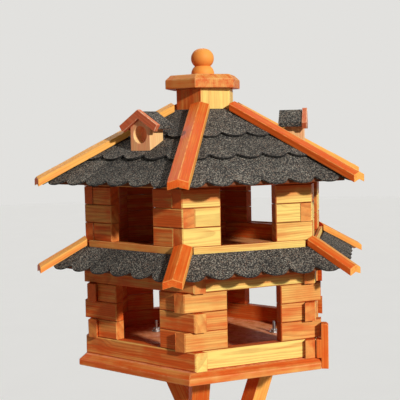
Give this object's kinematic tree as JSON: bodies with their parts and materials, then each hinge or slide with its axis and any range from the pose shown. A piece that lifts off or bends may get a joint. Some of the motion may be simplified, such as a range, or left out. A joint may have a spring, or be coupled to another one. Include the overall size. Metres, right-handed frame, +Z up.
{
  "type": "bird feeder",
  "caption": "Hexagonal timber bird feeder with stacked log walls, a skirt roof and a main roof of scalloped shingles, standing on a crossed tripod.",
  "frame": {"origin": "on the ground under the middle of the feeder", "axes": "+Z up, -Y out of the front wall, +X through a corner of the hexagon"},
  "size_m": [0.6222, 0.563, 1.3097],
  "materials": {
    "log_wood": "oiled, weathered",
    "board_wood": "oiled, weathered",
    "trim_wood": "oiled, weathered",
    "floor_wood": "oiled, weathered",
    "side_board_wood": "oiled",
    "stand_wood": "oiled, weathered",
    "turned_wood": "oiled, smooth",
    "shingle_felt": "mineral grit on bitumen felt"
  },
  "bodies": {
    "root": {"base_plate": "floor_wood", "cap": "board_wood", "collar": "board_wood", "dormer_1_house": "board_wood", "dormer_1_roof": "board_wood", "dormer_1_shingles": "shingle_felt", "dormer_2_house": "board_wood", "dormer_2_roof": "board_wood", "dormer_2_shingles": "shingle_felt", "dormer_3_house": "board_wood", "dormer_3_roof": "board_wood", "dormer_3_shingles": "shingle_felt", "finial": "turned_wood", "lower_corner_logs_1": "log_wood", "lower_corner_logs_2": "log_wood", "lower_corner_logs_3": "log_wood", "lower_corner_logs_4": "log_wood", "lower_corner_logs_5": "log_wood", "lower_corner_logs_6": "log_wood", "lower_sill_logs": "log_wood", "lower_top_logs": "log_wood", "roof_boards": "board_wood", "roof_hip_battens": "board_wood", "roof_shingle_row_1": "shingle_felt", "roof_shingle_row_2": "shingle_felt", "roof_shingle_row_3": "shingle_felt", "side_board": "side_board_wood", "skirt_boards": "board_wood", "skirt_hip_battens": "board_wood", "skirt_shingles": "shingle_felt", "skirt_trim": "trim_wood", "stand_centre_block": "stand_wood", "stand_leg_1": "stand_wood", "stand_leg_2": "stand_wood", "stand_leg_3": "stand_wood", "upper_corner_logs_1": "log_wood", "upper_corner_logs_2": "log_wood", "upper_corner_logs_3": "log_wood", "upper_corner_logs_4": "log_wood", "upper_corner_logs_5": "log_wood", "upper_corner_logs_6": "log_wood", "upper_floor": "floor_wood", "upper_sill_logs": "log_wood", "upper_top_logs": "log_wood"}
  },
  "joints": []
}
